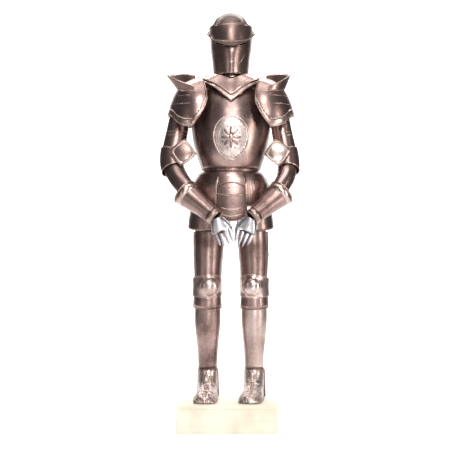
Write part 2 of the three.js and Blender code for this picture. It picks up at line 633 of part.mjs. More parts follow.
function addLeg({ name, side, knee, foot }) {
  const add = (label, geometry, group) => piece(`${label}_${name}`, geometry, COPPER, group);
  const shape = form(LEG.map((row) => ({ ...row, x: row.x * side, keel: 0 })));
  const ridged = form(LEG.map((row) => ({ ...row, x: row.x * side })));
  const turned = (angle, t, lift) => shape(angle + knee * DEGREE, t, lift);
  const bow = (height, rise) => (angle) => height + rise * Math.cos(angle);

  const outer = side > 0 ? { from: -84, to: 62 } : { from: -62, to: 84 };
  const inner = side > 0 ? { from: 66, to: 272 } : { from: 88, to: 294 };
  const thigh = { ...outer, columns: 10, rows: 4, lift: 2 };
  add('cuisse_front', patch(turned, { ...thigh, low: bow(646, 34), high: 896 }));
  add('cuisse_back', patch(turned, { ...inner, columns: 10, low: 668, high: 880, rows: 3, lift: 1 }));
  add('poleyn', poleyn(turned, side));
  const lame = { from: -96, to: 96, columns: 10, rows: 1, lift: 1 };
  add('knee_lame', patch(turned, { ...lame, low: bow(540, -8), high: bow(604, -4) }));
  const tube = { from: -180, to: 180, columns: 12, closed: true, rows: 5 };
  add('greave', patch(ridged, { ...tube, low: 259, high: 548, lift: -3.4 }));

  const stand = new THREE.Group();
  stand.position.set(HIP * side, 0, SOLE);
  stand.rotation.z = -foot * DEGREE;
  suit.add(stand);
  const upper = form(FOOT);
  add('sabaton', patch(upper, { from: -88, to: 88, columns: 8, low: 0, high: 7, rows: 8 }), stand);
  add('heel', patch(HEEL, { from: 92, to: 268, columns: 8, low: 0, high: 124, rows: 2 }), stand);
}

const DOME = { z: 636, high: 42, wide: 46, out: 17, lift: 5.6 }; // the round boss of the knee

/** The knee plate: a round boss in front under an arched edge, and a small fan on the outer side. */
function poleyn(shape, side) {
  const edge = (base, spread) => (angle) => {
    const degrees = (angle / DEGREE) * side;
    const fan = spread * Math.exp(-(((degrees - 86) / 24) ** 2));
    return base + fan;
  };
  const low = (angle) => edge(604, -10)(angle) - 20 * Math.cos(angle);
  const high = (angle) => edge(658, 12)(angle) + 32 * Math.cos(angle);
  const domed = (angle, t, lift) => {
    const aside = (angle / DEGREE) / DOME.wide;
    const above = (t - DOME.z) / DOME.high;
    const bulge = DOME.out * Math.max(0, 1 - aside ** 2 - above ** 2) ** 0.6;
    const fan = 4 * Math.exp(-((((angle / DEGREE) * side - 92) / 22) ** 2));
    return shape(angle, t, lift + bulge + fan);
  };
  const span = side > 0 ? { from: -90, to: 112 } : { from: -112, to: 90 };
  return patch(domed, { ...span, columns: 12, low, high, rows: 6, lift: DOME.lift });
}

for (const stance of STANCE) addLeg(stance);

// ---------------------------------------------------------------- plinth

/** A box plinth with a board on top that stands out a little all round. */
function plinth() {
  const { wide, deep, high, lip, board } = PLINTH;
  const levels = [[0, lip], [high - board, lip], [high - board, 0], [high, 0]];
  const corners = [[-1, -1], [1, -1], [1, 1], [-1, 1]];
  const points = levels.flatMap(([z, inset]) =>
    corners.map(([sx, sy]) => new THREE.Vector3(sx * (wide / 2 - inset), sy * (deep / 2 - inset), z)));
  const triangles = [[0, 2, 1], [0, 3, 2], [12, 13, 14], [12, 14, 15]];
  for (let level = 0; level < levels.length - 1; level += 1) {
    for (let k = 0; k < 4; k += 1) {
      const [a, b] = [4 * level + k, 4 * level + ((k + 1) % 4)];
      triangles.push([a, b, b + 4], [a, b + 4, a + 4]);
    }
  }
  return body(points, triangles);
}
piece('plinth', plinth(), PAINT).position.set(PLINTH.x, PLINTH.y, 0);

// The origin is the middle of the whole box, on the floor.
const middle = new THREE.Box3().setFromObject(suit).getCenter(new THREE.Vector3());
suit.position.set(-middle.x, -middle.y, 0);

export default suit;
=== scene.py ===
# %% [markdown]
# # A suit of plate armour on its plinth
#
# A suit of plate is a set of thin metal shells, each shaped to the body and lapped over the next.
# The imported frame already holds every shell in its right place. Each one is copied, its
# loose triangles are joined into four-sided faces, and subdivision makes the hammered curves
# smooth. Borders, rolled edges, rivets, straps and ornament are then modelled on top.

# %% Load the frame
import math

import bmesh
import bpy
from mathutils import Matrix, Vector
from mathutils.bvhtree import BVHTree


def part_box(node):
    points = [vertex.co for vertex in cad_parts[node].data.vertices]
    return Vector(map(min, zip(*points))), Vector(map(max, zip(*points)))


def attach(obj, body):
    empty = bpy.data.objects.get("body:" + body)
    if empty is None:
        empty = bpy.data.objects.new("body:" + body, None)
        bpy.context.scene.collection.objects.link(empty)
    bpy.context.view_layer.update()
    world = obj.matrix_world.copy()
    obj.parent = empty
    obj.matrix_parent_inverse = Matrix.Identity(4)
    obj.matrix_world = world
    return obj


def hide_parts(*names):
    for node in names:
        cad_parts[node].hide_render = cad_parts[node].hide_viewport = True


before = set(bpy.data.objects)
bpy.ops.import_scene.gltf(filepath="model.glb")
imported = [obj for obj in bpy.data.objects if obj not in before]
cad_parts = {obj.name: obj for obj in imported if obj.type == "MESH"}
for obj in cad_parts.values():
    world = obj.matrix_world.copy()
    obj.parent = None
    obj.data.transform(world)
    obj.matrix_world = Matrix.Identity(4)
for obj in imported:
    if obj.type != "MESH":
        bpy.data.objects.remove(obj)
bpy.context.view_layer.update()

MM = 0.001
SIDES = {"left": 1, "right": -1}  # the wearer's left is towards +X
BODY_Y = 32.6  # where the body's middle is, in millimetres
LEG_X = {"left": 113.3, "right": -100.7}  # where each leg's upright axis is, in millimetres
TURNED = {"left": -13, "right": 8}  # how far each leg is turned, in degrees
HELMET_BODY = {"helmet_visor": "visor", "helmet_bevor": "bevor"}
ROOT = "suit"


# %% [markdown]
# ## The camera
# A long lens, far away and level, keeps the tall figure free of distortion. It stands at the
# height of the waist, so the plinth is seen from slightly above and the helmet from below.

# %% Camera
camera_data = bpy.data.cameras.new("camera")
camera_data.sensor_width = 36
camera_data.lens = 78.1
camera = bpy.data.objects.new("camera", camera_data)
bpy.context.scene.collection.objects.link(camera)
camera.location = (-0.021, -4.467, 0.916)
camera.rotation_euler = (math.radians(90), 0, 0)
bpy.context.scene.camera = camera
print("camera at", tuple(round(v, 3) for v in camera.location))


# %% [markdown]
# ## A way to write shader maths
# Node trees are easier to read as sums than as boxes and wires. The Wire class wraps one
# output socket; adding or multiplying Wires adds the Math node that does it.

# %% Wires and finishes
class Wire:
    """One output socket, on which Python's arithmetic adds Math nodes."""

    def __init__(self, finish, socket):
        self.finish, self.socket = finish, socket

    def _math(self, operation, *values):
        return self.finish.node("Math", {"operation": operation}, dict(enumerate(values)))

    def __add__(self, other):
        return self._math("ADD", self, other)

    def __mul__(self, other):
        return self._math("MULTIPLY", self, other)

    def __rsub__(self, other):
        return self._math("SUBTRACT", other, self)

    __radd__ = __add__


class Finish:
    """A material, with one method that adds any node to it."""

    def __init__(self, name, **fixed):
        self.material = bpy.data.materials.new(name)
        self.material.use_nodes = True
        self.tree = self.material.node_tree
        self.shader = self.tree.nodes["Principled BSDF"]
        for socket, value in fixed.items():
            self.shader.inputs[socket.replace("_", " ")].default_value = value
        self.place = self.node("TexCoord", {}, {}, "Object")

    def node(self, kind, settings, values, output=0):
        added = self.tree.nodes.new("ShaderNode" + kind)
        for name, value in settings.items():
            setattr(added, name, value)
        for name, value in values.items():
            self.join(value, added.inputs[name])
        return Wire(self, added.outputs[output])

    def join(self, value, socket):
        if isinstance(value, Wire):
            self.tree.links.new(value.socket, socket)
        else:
            socket.default_value = value

    def set(self, **wires):
        for name, wire in wires.items():
            self.join(wire, self.shader.inputs[name.replace("_", " ")])

    def noise(self, scale, detail=4.0, rough=0.5, stretch=(1, 1, 1)):
        mapped = self.node("Mapping", {}, {"Vector": self.place, "Scale": stretch})
        values = {"Vector": mapped, "Scale": scale, "Detail": detail, "Roughness": rough}
        return self.node("TexNoise", {}, values)

    def shade(self, wire, low, high, dark=0.0, light=1.0):
        """Stretches a mask so that low becomes dark and high becomes light, clamped."""
        values = {"Value": wire, 1: low, 2: high, 3: dark, 4: light}
        return self.node("MapRange", {"clamp": True}, values)

    def blend(self, mask, first, second):
        kind = {"data_type": "RGBA", "blend_type": "MIX"}
        return self.node("Mix", kind, {0: mask, 6: first, 7: second}, 2)

    def bump(self, height, strength, distance):
        values = {"Height": height, "Strength": strength, "Distance": distance}
        return self.node("Bump", {}, values)


# %% [markdown]
# ## The metals
# The plates are old copper-coloured metal: warm, a little pink where polished, brown where the
# tarnish sits. The tarnish comes in soft clouds, and hand hammering leaves shallow dishes.
# Rubbing leaves fine scratches, which change the roughness more than the height.

# %% Copper, border, silver and bolt finishes
def aged_metal(name, polished, tarnished, gloss, clouds, dishes):
    """Metal with clouds of tarnish, hammered dishes and fine rubbing."""
    finish = Finish(name, Metallic=1.0)
    cloud = finish.noise(clouds, 6.0, 0.6)
    speck = finish.noise(160.0, 3.0, 0.6)
    stain = finish.shade(cloud + speck * 0.35, 0.52, 0.86)
    rub = finish.noise(90.0, 2.0, 0.5, (1, 1, 0.12))
    finish.set(Base_Color=finish.blend(stain, (*polished, 1), (*tarnished, 1)))
    finish.set(Roughness=gloss + stain * 0.16 + rub * 0.08)
    hammer = finish.noise(dishes, 2.0, 0.4)
    height = hammer * 0.8 + speck * 0.1
    finish.set(Normal=finish.bump(height, 0.35, 0.0016))
    return finish.material


copper = aged_metal("aged_copper", (0.43, 0.30, 0.272), (0.13, 0.080, 0.070), 0.22, 7.0, 26.0)
# The border finish is lighter than the plates: partly rubbed wear on the edges, partly a painted
# highlight where borders catch the light.
border = aged_metal("rubbed_border", (0.66, 0.52, 0.47), (0.27, 0.175, 0.145), 0.2, 12.0, 40.0)
silver = aged_metal("worn_silver", (0.74, 0.72, 0.76), (0.30, 0.275, 0.285), 0.24, 14.0, 45.0)
medal_metal = aged_metal(
    "medallion_metal", (0.80, 0.69, 0.66), (0.42, 0.33, 0.30), 0.26, 30.0, 60.0)
brass = aged_metal("rivet_brass", (0.88, 0.70, 0.52), (0.50, 0.36, 0.25), 0.25, 30.0, 120.0)
# A much darker copy of the copper for the visor's brim: painted shade where the brim sits in
# shadow.
brim_painted_shade = aged_metal("dark_brim", (0.13, 0.098, 0.082), (0.05, 0.036, 0.031), 0.33, 8.0, 30.0)
# A darker copy of the copper for the helmet's skull: painted shade, so the dome reads dark.
skull_painted_shade = aged_metal("dark_dome", (0.13, 0.10, 0.086), (0.05, 0.036, 0.031), 0.3, 7.0, 26.0)
# A lighter copy of the copper: a painted highlight for the pieces that catch the lamps.
copper_painted_highlight = aged_metal("polished_copper", (0.62, 0.50, 0.46), (0.34, 0.24, 0.21), 0.22, 7.0, 26.0)
metals = (copper, border, silver, medal_metal, brass, brim_painted_shade, skull_painted_shade, copper_painted_highlight)
print("metals", [metal.name for metal in metals])


# %% [markdown]
# ## Leather and paint
# The straps are dark waxed leather with a fine grain. The plinth is painted board: a cream
# coat with broad soft dirt, brush marks along its length, and a slightly uneven sheen.

# %% Leather and painted board
def strap_leather():
    finish = Finish("strap_leather")
    grain = finish.node("TexVoronoi", {}, {"Vector": finish.place, "Scale": 420.0}, 0)
    worn = finish.noise(38.0, 5.0, 0.6)
    dark, light = (0.030, 0.018, 0.013, 1), (0.115, 0.066, 0.042, 1)
    finish.set(Base_Color=finish.blend(finish.shade(worn, 0.4, 0.7), dark, light))
    finish.set(Roughness=0.42 + worn * 0.25)
    finish.set(Normal=finish.bump(grain, 0.3, 0.0006))
    return finish.material


def cream_paint():
    finish = Finish("cream_paint")
    dirt = finish.noise(5.0, 6.0, 0.6)
    brush = finish.noise(60.0, 3.0, 0.6, (0.06, 0.06, 1))
    stain = finish.shade(dirt + brush * 0.2, 0.5, 0.95)
    clean, soiled = (0.80, 0.755, 0.62, 1), (0.52, 0.45, 0.33, 1)
    finish.set(Base_Color=finish.blend(stain, clean, soiled))
    finish.set(Roughness=0.42 + brush * 0.2)
    finish.set(Normal=finish.bump(brush, 0.18, 0.0008))
    return finish.material


leather = strap_leather()
paint = cream_paint()
print("soft finishes", leather.name, paint.name)


# %% [markdown]
# ## Making the plates smooth
# A plate in the frame is a shell of flat triangles. Its copy is welded and its triangles are
# joined into four-sided faces. Edges sharper than a bend in the sheet are creased, so that
# Subdivision Surface rounds the sheet and keeps the cut edge of the metal thin and crisp.

# %% Plate helpers
SHARP = math.radians(52)


def frame_mesh(node):
    """A welded copy of a frame node as a bmesh of four-sided faces."""
    mesh = bmesh.new()
    mesh.from_mesh(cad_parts[node].data)
    bmesh.ops.remove_doubles(mesh, verts=mesh.verts, dist=2e-5)
    bmesh.ops.join_triangles(
        mesh, faces=mesh.faces, angle_face_threshold=math.radians(40),
        angle_shape_threshold=math.radians(80))
    return mesh


def keep(name, mesh, finish, body=ROOT, levels=0, smooth=True):
    """Turns a bmesh into a finished object that rides on a body."""
    data = bpy.data.meshes.new(name)
    mesh.to_mesh(data)
    mesh.free()
    data.materials.append(finish)
    for face in data.polygons:
        face.use_smooth = smooth
    piece = bpy.data.objects.new(name, data)
    bpy.context.scene.collection.objects.link(piece)
    if levels:
        rounding = piece.modifiers.new("rounding", "SUBSURF")
        rounding.levels = rounding.render_levels = levels
    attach(piece, body)
    return piece


def crease_sharp(mesh, limit=SHARP):
    layer = mesh.edges.layers.float.get("crease_edge")
    layer = layer or mesh.edges.layers.float.new("crease_edge")
    for edge in mesh.edges:
        if len(edge.link_faces) != 2 or edge.calc_face_angle(0) > limit:
            edge[layer] = 1.0


def body_for(node):
    return HELMET_BODY.get(node, ROOT)


def smooth_plate(node, finish, levels=2):
    """A finished plate that stands for its frame node."""
    mesh = frame_mesh(node)
    crease_sharp(mesh)
    piece = keep(node + "_plate", mesh, finish, body_for(node), levels)
    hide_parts(node)
    return piece


# %% Every plate of the suit
SILVER_NODES = ("medallion", "hand_plate", "finger", "thumb")
EXTRA = ("plinth", "pivot_bolt")
# The skull takes the darker copy of the copper (painted shade); the left elbow fan, both knee
# plates and the left shin take the lighter copy (painted highlight).
OTHER_FINISH = {
    "medallion": medal_metal, "helmet_skull": skull_painted_shade, "couter_wing_left": copper_painted_highlight,
    "poleyn_left": copper_painted_highlight, "poleyn_right": copper_painted_highlight, "greave_left": copper_painted_highlight,
}
plates = {}
for node in sorted(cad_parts):
    if node.startswith(EXTRA):
        continue
    is_silver = node.startswith(SILVER_NODES)
    finish = OTHER_FINISH.get(node, silver if is_silver else copper)
    plates[node] = smooth_plate(node, finish)
print("plates made smooth", len(plates))


# %% Pivot bolts keep their frame nodes
def repaint(node, finish):
    """Gives a frame node its finish without touching its shape."""
    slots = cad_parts[node].material_slots
    for slot in slots:
        slot.material = finish


for node in sorted(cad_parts):
    if node.startswith("pivot_bolt"):
        repaint(node, brass)
print("pivot bolts finished")


# %% [markdown]
# ## Working on a finished surface
# Borders, cords and rivets have to lie exactly on the smooth plate. So each plate is read once
# with its subdivision on, and the part of it that faces outwards is kept: it is the largest
# piece left when the sheet is cut along its sharp edges.

# %% Outer skins
bpy.context.view_layer.update()
skins = {}


def evaluated_mesh(piece):
    graph = bpy.context.evaluated_depsgraph_get()
    mesh = bmesh.new()
    mesh.from_object(piece, graph)
    return mesh


def islands(mesh, limit=math.radians(50)):
    """Groups of faces that can be walked without crossing a sharp edge."""
    left, groups = set(mesh.faces), []
    while left:
        start = left.pop()
        group, edge_of_walk = {start}, [start]
        while edge_of_walk:
            for edge in edge_of_walk.pop().edges:
                if len(edge.link_faces) == 2 and edge.calc_face_angle(0) < limit:
                    for face in edge.link_faces:
                        if face in left:
                            left.discard(face)
                            group.add(face)
                            edge_of_walk.append(face)
        groups.append(group)
    return groups


def outer_skin(node):
    """The outward face of a smooth plate as a bmesh, kept for later use."""
    if node not in skins:
        mesh = evaluated_mesh(plates[node])
        largest = max(islands(mesh), key=lambda group: sum(f.calc_area() for f in group))
        others = [face for face in mesh.faces if face not in largest]
        bmesh.ops.delete(mesh, geom=others, context="FACES")
        mesh.normal_update()
        skins[node] = mesh
    return skins[node]


trees = {}


def tree_of(node):
    if node not in trees:
        trees[node] = BVHTree.FromBMesh(outer_skin(node))
    return trees[node]


def cast(nodes, start, way):
    """The nearest point where a straight line first meets one of the plates."""
    hits = [tree_of(node).ray_cast(Vector(start), Vector(way).normalized()) for node in nodes]
    hits = [hit for hit in hits if hit[0] is not None]
    return min(hits, key=lambda hit: hit[3]) if hits else None


# %% [markdown]
# ## Edges, cords and rivets
# A rolled edge is the rim of a sheet turned over a wire: a round cord along the outline. A
# border band is a raised strip inside the outline. Both start from the edges of the outer skin.

# %% Chains and tubes
def chains(edges):
    """Sorts loose edges into runs of points; a closed run repeats its first point."""
    left, runs = set(edges), []
    while left:
        ends = [e for e in left if any(sum(k in left for k in v.link_edges) == 1 for v in e.verts)]
        edge = min(ends or left, key=lambda e: e.index)
        tail = [v for v in edge.verts if sum(k in left for k in v.link_edges) == 1]
        vertex = tail[0] if tail else edge.verts[0]
        run = [vertex]
        while edge is not None:
            left.discard(edge)
            vertex = edge.other_vert(vertex)
            run.append(vertex)
            edge = next((k for k in vertex.link_edges if k in left), None)
        runs.append(run)
    return runs


def tube(name, runs, radius, finish, body=ROOT, sides=2):
    """Round cords through runs of points, as one mesh piece."""
    line = bpy.data.curves.new(name, "CURVE")
    line.dimensions = "3D"
    line.bevel_depth, line.bevel_resolution, line.use_fill_caps = radius, sides, True
    for run in runs:
        points = [Vector(p) for p in run]
        closed = (points[0] - points[-1]).length < 1e-6 and len(points) > 3
        points = points[:-1] if closed else points
        spline = line.splines.new("POLY")
        spline.points.add(len(points) - 1)
        for place, point in zip(spline.points, points):
            place.co = (*point, 1)
        spline.use_cyclic_u = closed
    shaper = bpy.data.objects.new(name + "_line", line)
    mesh = bmesh.new()
    mesh.from_mesh(bpy.data.meshes.new_from_object(shaper))
    bpy.data.objects.remove(shaper)
    bmesh.ops.recalc_face_normals(mesh, faces=mesh.faces)
    return keep(name, mesh, finish, body)


def everywhere(point):
    return True


def outline_runs(node, where=everywhere):
    mesh = outer_skin(node)
    mesh.edges.index_update()
    rim = [e for e in mesh.edges if e.is_boundary and where((e.verts[0].co + e.verts[1].co) / 2)]
    return [[v.co.copy() for v in run] for run in chains(rim) if len(run) > 2]


def rolled_edge(name, node, radius, finish, where=everywhere):
    return tube(name, outline_runs(node, where), radius, finish, body_for(node))


# %% Border bands
def border_band(name, node, rings, height, finish, where=everywhere):
    """A raised strip, some face-rows wide, inside the outline of a plate."""
    mesh = outer_skin(node).copy()
    rim = [e for e in mesh.edges if e.is_boundary and where((e.verts[0].co + e.verts[1].co) / 2)]
    band = {face for edge in rim for face in edge.link_faces}
    for _ in range(rings - 1):
        band |= {face for kept in list(band) for edge in kept.edges for face in edge.link_faces}
    bmesh.ops.delete(mesh, geom=[f for f in mesh.faces if f not in band], context="FACES")
    mesh.normal_update()
    for vertex in mesh.verts:
        vertex.co += vertex.normal * height
    bmesh.ops.solidify(mesh, geom=mesh.faces[:], thickness=height * 1.6)
    bmesh.ops.recalc_face_normals(mesh, faces=mesh.faces)
    return keep(name, mesh, finish, body_for(node))


# %% Rivets
def domed_heads(name, places, radius, finish, body=ROOT, rise=0.55):
    """Domed rivet heads, each at a point with its outward direction."""
    mesh = bmesh.new()
    for point, way in places:
        turn = Vector(way).to_track_quat("Z", "Y").to_matrix().to_4x4()
        place = Matrix.Translation(point) @ turn @ Matrix.Diagonal((1, 1, rise, 1))
        bmesh.ops.create_uvsphere(mesh, u_segments=12, v_segments=8, radius=radius, matrix=place)
    return keep(name, mesh, finish, body)


def rivets_along(node, spacing, inset, where=everywhere):
    """Places at equal steps along an outline, moved inwards and set on the skin."""
    places = []
    middle = sum((v.co for v in outer_skin(node).verts), Vector()) / len(outer_skin(node).verts)
    for run in outline_runs(node, where):
        walked, due = 0.0, spacing / 2
        for first, second in zip(run, run[1:]):
            step = (second - first).length
            while walked + step >= due:
                point = first.lerp(second, (due - walked) / step)
                normal = tree_of(node).find_nearest(point)[1]
                inward = normal.cross(second - first).normalized()
                if inward.dot(middle - point) < 0:
                    inward.negate()
                spot, way, _, _ = tree_of(node).find_nearest(point + inward * inset)
                places.append((spot, way))
                due += spacing
            walked += step
    return places


# %% Raised lines and sections
def front_line(nodes, marks, lift=0.0, steps=8):
    """A run of points on the front of the plates through (x, z) marks, in millimetres."""
    run = []
    for (x0, z0), (x1, z1) in zip(marks, marks[1:]):
        for k in range(steps + (1 if (x1, z1) == marks[-1] else 0)):
            x, z = (a + (b - a) * k / steps for a, b in ((x0, x1), (z0, z1)))
            hit = cast(nodes, (x * MM, -1.0, z * MM), (0, 1, 0))
            if hit:
                run.append(hit[0] + hit[1] * lift)
    return run


def round_line(nodes, centre, angles, height, lift=0.0, steps=24):
    """A run round an upright limb at one height, from one angle to another from the front."""
    run = []
    for k in range(steps + 1):
        angle = math.radians(angles[0] + (angles[1] - angles[0]) * k / steps)
        z = (height(angle) if callable(height) else height) * MM
        way = Vector((math.sin(angle), -math.cos(angle), 0))
        start = Vector((centre[0], centre[1], z)) + way * 0.4
        hit = cast(nodes, start, -way)
        if hit:
            run.append(hit[0] + hit[1] * lift)
    return run


def section_runs(node, point, way):
    """The outline where a flat cut goes through a plate's outer skin."""
    mesh = outer_skin(node).copy()
    cut = bmesh.ops.bisect_plane(
        mesh, geom=mesh.verts[:] + mesh.edges[:] + mesh.faces[:], plane_co=point, plane_no=way)
    edges = [g for g in cut["geom_cut"] if isinstance(g, bmesh.types.BMEdge)]
    mesh.edges.index_update()
    runs = [[v.co.copy() for v in run] for run in chains(edges) if len(run) > 3]
    mesh.free()
    return runs


def centre_of(node):
    low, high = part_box(node)
    return tuple((a + b) / 2 for a, b in zip(low, high))


# %% Straps
def strap(name, rows, thickness, finish=leather, body=ROOT):
    """A flat band through two runs of points, given some thickness."""
    mesh = bmesh.new()
    edges = []
    for row in rows:
        verts = [mesh.verts.new(p) for p in row]
        edges += [mesh.edges.new(pair) for pair in zip(verts, verts[1:])]
    bmesh.ops.bridge_loops(mesh, edges=edges)
    bmesh.ops.recalc_face_normals(mesh, faces=mesh.faces)
    bmesh.ops.solidify(mesh, geom=mesh.faces[:], thickness=thickness)
    bmesh.ops.recalc_face_normals(mesh, faces=mesh.faces)
    return keep(name, mesh, finish, body, 1)


print("skin of the breastplate has", len(outer_skin("breastplate").faces), "faces")


# %% [markdown]
# ## The helmet
# The visor's brim sits in shadow, and that shade is painted into it as a nearly black finish. A
# light-coloured catch shaped like a T holds the face plate at the chin, whose edge is turned over a
# wire. On the visor, cords follow its upper edge and the edges of its two tabs behind the bolts.

# %% Brim, rims and catch of the helmet
FLANGE_TOP = 1.812  # no face of the flange lies above this height
FLANGE_SLOPE = 0.36  # and every one of them points at least this much up or down


def paint_brim_shade():
    """Paints shade onto the visor's sloping flange as a dark finish; the brow above it is upright.
    """
    piece = plates["helmet_visor"]
    piece.data.materials.append(brim_painted_shade)
    for face in piece.data.polygons:
        if face.center.z < FLANGE_TOP and abs(face.normal.z) > FLANGE_SLOPE:
            face.material_index = 1


paint_brim_shade()
# The cord along the brim takes the same painted shade.
rolled_edge("visor_brim_edge", "helmet_visor", 2.2 * MM, brim_painted_shade, lambda p: p.z < 1.805)
rolled_edge("visor_crown_edge", "helmet_visor", 1.4 * MM, copper, lambda p: p.z > 1.815)
rolled_edge("bevor_chin_edge", "helmet_bevor", 2.2 * MM, copper, lambda p: p.z < 1.605)
rolled_edge("bevor_top_edge", "helmet_bevor", 1.2 * MM, border, lambda p: 1.715 < p.z < 1.76)
rolled_edge("skull_neck_edge", "helmet_skull", 2.0 * MM, copper, lambda p: p.z < 1.64)

helmet_x = centre_of("helmet_skull")[0] / MM
catch = [front_line(["helmet_bevor"], [(helmet_x, 1650), (helmet_x, 1612)], 2 * MM)]
catch.append(front_line(["helmet_bevor"], [(helmet_x - 8, 1650), (helmet_x + 8, 1650)], 2 * MM))
tube("chin_catch", catch, 3.0 * MM, border, "bevor")
keel = [front_line(["helmet_bevor"], [(helmet_x, 1660), (helmet_x, 1712)], 0.5 * MM)]
tube("face_keel", keel, 1.6 * MM, border, "bevor")
cheek = [(helmet_x + 12, 1622), (helmet_x + 44, 1652), (helmet_x + 66, 1694)]
tube("cheek_crease", [front_line(["helmet_bevor"], cheek)], 1.5 * MM, border, "bevor")
print("helmet dressed")


# %% [markdown]
# ## The gorget and the breastplate
# The neck plate ends in a point on the chest, with a lighter band between two raised lines and
# rivets in it; the band's light colour is partly rubbed wear and partly a painted highlight.
# Oblique lames show on the wearer's left. The breastplate is left almost plain, and a leather strap
# over each shoulder joins it to the backplate.

# %% Gorget and breastplate borders
rolled_edge("gorget_front_edge", "gorget_front", 1.8 * MM, border, lambda p: p.z < 1.575)
border_band("gorget_band", "gorget_lame", 2, 0.9 * MM, border, lambda p: p.z < 1.565)
rolled_edge("gorget_lame_edge", "gorget_lame", 2.0 * MM, copper, lambda p: p.z < 1.565)
domed_heads("gorget_rivets", rivets_along("gorget_lame", 30 * MM, 7 * MM, lambda p: p.z < 1.565),
            2.6 * MM, brass)
rolled_edge("gorget_back_edge", "gorget_back", 1.8 * MM, copper, lambda p: p.z < 1.56)
rolled_edge("collar_edge", "gorget_collar", 2.0 * MM, copper, lambda p: p.z > 1.64)
neck = []
for drop in (0, 13, 26):
    marks = [(helmet_x + x, z - drop) for x, z in ((26, 1548), (62, 1566), (92, 1590))]
    neck.append(front_line(["gorget_front"], marks, 0.3 * MM))
tube("gorget_lame_lines", [run for run in neck if len(run) > 2], 1.1 * MM, border)
rolled_edge("breastplate_waist_edge", "breastplate", 2.0 * MM, copper, lambda p: p.z < 1.175)
rolled_edge("breastplate_arm_edge", "breastplate", 2.2 * MM, copper, lambda p: p.z > 1.38)
rolled_edge("backplate_edge", "backplate", 2.0 * MM, copper)


# How the shoulder strap runs from front to back: distance from the body's middle, and height.
STRAP_PATH = (
    (-64, 1530), (-60, 1548), (-48, 1563), (-20, 1573), (20, 1573), (52, 1562), (70, 1540))


def shoulder_strap(name, side):
    """The leather that joins the breastplate to the backplate over a shoulder."""
    rows = []
    for x in (92, 112, 130):
        rows.append([Vector((helmet_x + side * x, y + BODY_Y, z)) * MM for y, z in STRAP_PATH])
    strap("shoulder_strap_" + name, rows, 2.4 * MM)


for name, side in SIDES.items():
    shoulder_strap(name, side)
print("neck and chest dressed")


# %% [markdown]
# ## The medallion
# A thin oval plate lies on the chest. Its ornament is a plain rosette of eight leaves inside
# a smaller oval, with a ring of beads between that and the roped outer edge. The leaves are
# flattened spheres turned about the middle and set on the curved plate.

# %% Medallion ornament
medal_x, _, medal_z = (v / MM for v in centre_of("medallion"))


def oval(across, tall, count):
    turns = [2 * math.pi * k / count for k in range(count + 1)]
    return [(medal_x + across * math.sin(t), medal_z + tall * math.cos(t)) for t in turns]


def on_medal(marks, lift=0.0):
    return front_line(["medallion"], marks, lift, 1)


rolled_edge("medallion_edge", "medallion", 2.6 * MM, medal_metal)
inner = on_medal(oval(56, 71, 64), 0.2 * MM)
tube("medallion_inner_ring", [inner[:-1] + [inner[0]]], 1.8 * MM, medal_metal)


def set_on_medal(name, marks, size, finish, spin=None):
    """Flattened spheres set on the medallion; spin turns each long one about the surface."""
    mesh = bmesh.new()
    for k, (x, z) in enumerate(marks):
        hit = cast(["medallion"], (x * MM, -1, z * MM), (0, 1, 0))
        if hit is None:
            continue
        turn = hit[1].to_track_quat("Z", "Y").to_matrix().to_4x4()
        roll = Matrix.Rotation(spin[k] if spin else 0, 4, "Z")
        place = Matrix.Translation(hit[0]) @ turn @ roll @ Matrix.Diagonal((*size, 1))
        bmesh.ops.create_uvsphere(mesh, u_segments=12, v_segments=8, radius=MM, matrix=place)
    return keep(name, mesh, finish)


set_on_medal("medallion_beads", oval(68, 85, 28)[:-1], (3.2, 3.2, 2.0), copper)
petals = [2 * math.pi * k / 8 for k in range(8)]
leaves = [(medal_x + 25 * math.sin(t), medal_z + 31 * math.cos(t)) for t in petals]
set_on_medal("medallion_leaves", leaves, (7.5, 20.0, 3.4), copper, [math.pi - t for t in petals])
tips = [2 * math.pi * (k + 0.5) / 8 for k in range(8)]
buds = [(medal_x + 40 * math.sin(t), medal_z + 50 * math.cos(t)) for t in tips]
set_on_medal("medallion_buds", buds, (4.2, 4.2, 2.6), copper)
set_on_medal("medallion_boss", [(medal_x, medal_z)], (11.0, 11.0, 5.0), border)
print("medallion ornament set on", round(medal_x), round(medal_z))


# %% [markdown]
# ## The skirt
# Upright flutes flank the arch, and the lames under it have turned lower edges that curve like a
# smile. A raised strip runs along the upper edge of the waist band; its light colour is a painted
# highlight.

# %% Skirt edges and flutes
rolled_edge("fauld_front_edge", "fauld_front", 2.0 * MM, copper, lambda p: p.z < 1.13)
rolled_edge("fauld_back_edge", "fauld_back", 2.0 * MM, copper, lambda p: p.z < 1.02)
for node in ("groin_lame_upper", "groin_lame_lower"):
    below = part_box(node)[1][2] - 0.03
    rolled_edge(node + "_edge", node, 1.8 * MM, border, lambda p, limit=below: p.z < limit)
body_x = centre_of("groin_lame_upper")[0] / MM
flutes = []
for side in (-1, 1):
    for across in (68, 80, 92, 104):
        foot = (body_x + side * across, 1018)
        head = (body_x + side * across * 0.86, 1132)
        flutes.append(front_line(["fauld_front"], [foot, head]))
tube("fauld_flutes", [run for run in flutes if len(run) > 2], 1.8 * MM, copper)
smiles = []
for height in (1083, 985, 955):
    marks = [(body_x + x, height + 12 * (x / 50) ** 2) for x in range(-46, 47, 23)]
    smiles.append(front_line(["groin_lame_upper", "groin_lame_lower"], marks))
tube("groin_lame_lines", [run for run in smiles if len(run) > 2], 1.5 * MM, border)
# The strip on the waist band is light-coloured: a painted highlight.
border_band("waist_rubbed_band", "waist_band", 1, 0.6 * MM, border, lambda p: p.z > 1.175)
print("skirt dressed")
